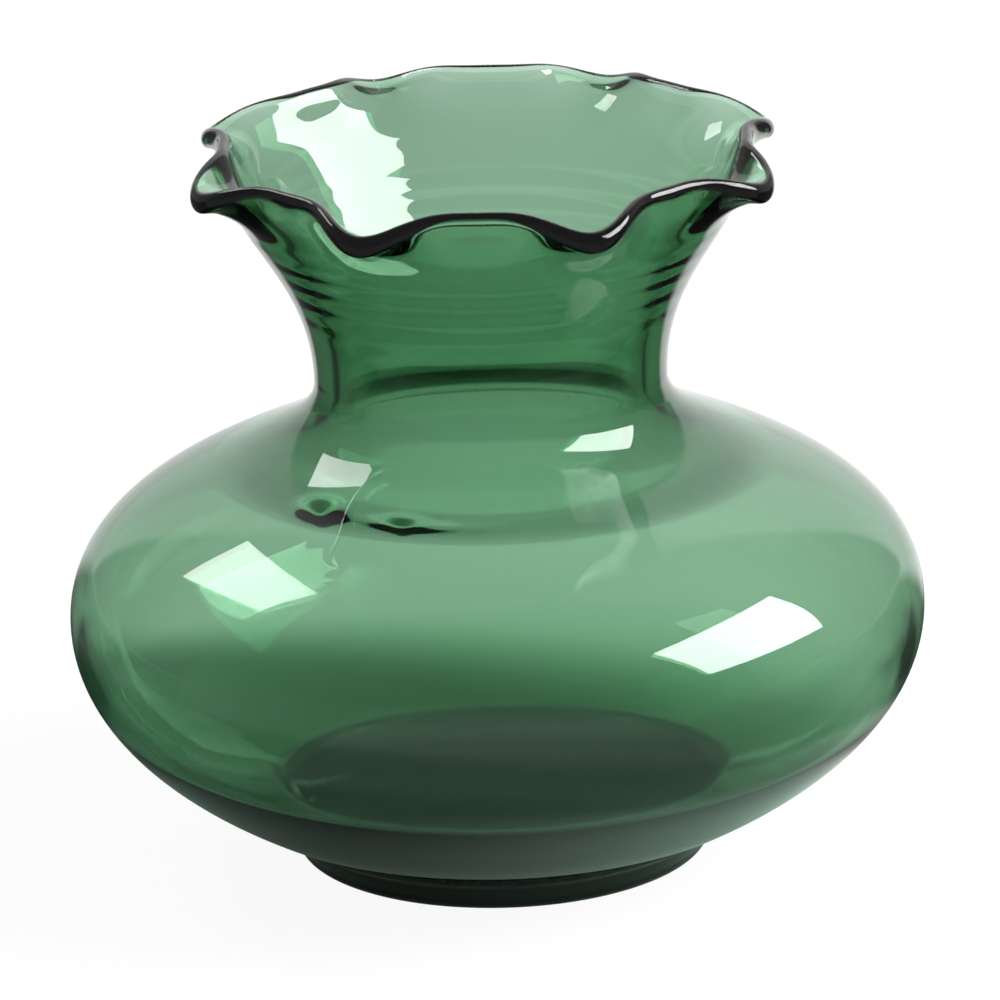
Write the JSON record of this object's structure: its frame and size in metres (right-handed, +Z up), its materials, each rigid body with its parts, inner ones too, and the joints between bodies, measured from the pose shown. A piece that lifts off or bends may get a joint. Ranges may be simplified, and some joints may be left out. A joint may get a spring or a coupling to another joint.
{
  "type": "crimped bud vase",
  "caption": "Squat blown green glass vase with a narrow neck, a flared and crimped rim, and a short solid foot.",
  "frame": {"origin": "middle of the flat ring that the foot stands on", "axes": "+Z up along the axis that the glass was turned about, -Y through one crest of the rim"},
  "size_m": [0.1076, 0.1076, 0.0928],
  "materials": {
    "green_glass": "clear, fire polished"
  },
  "bodies": {
    "root": {"glass_vase": "green_glass"}
  },
  "joints": []
}
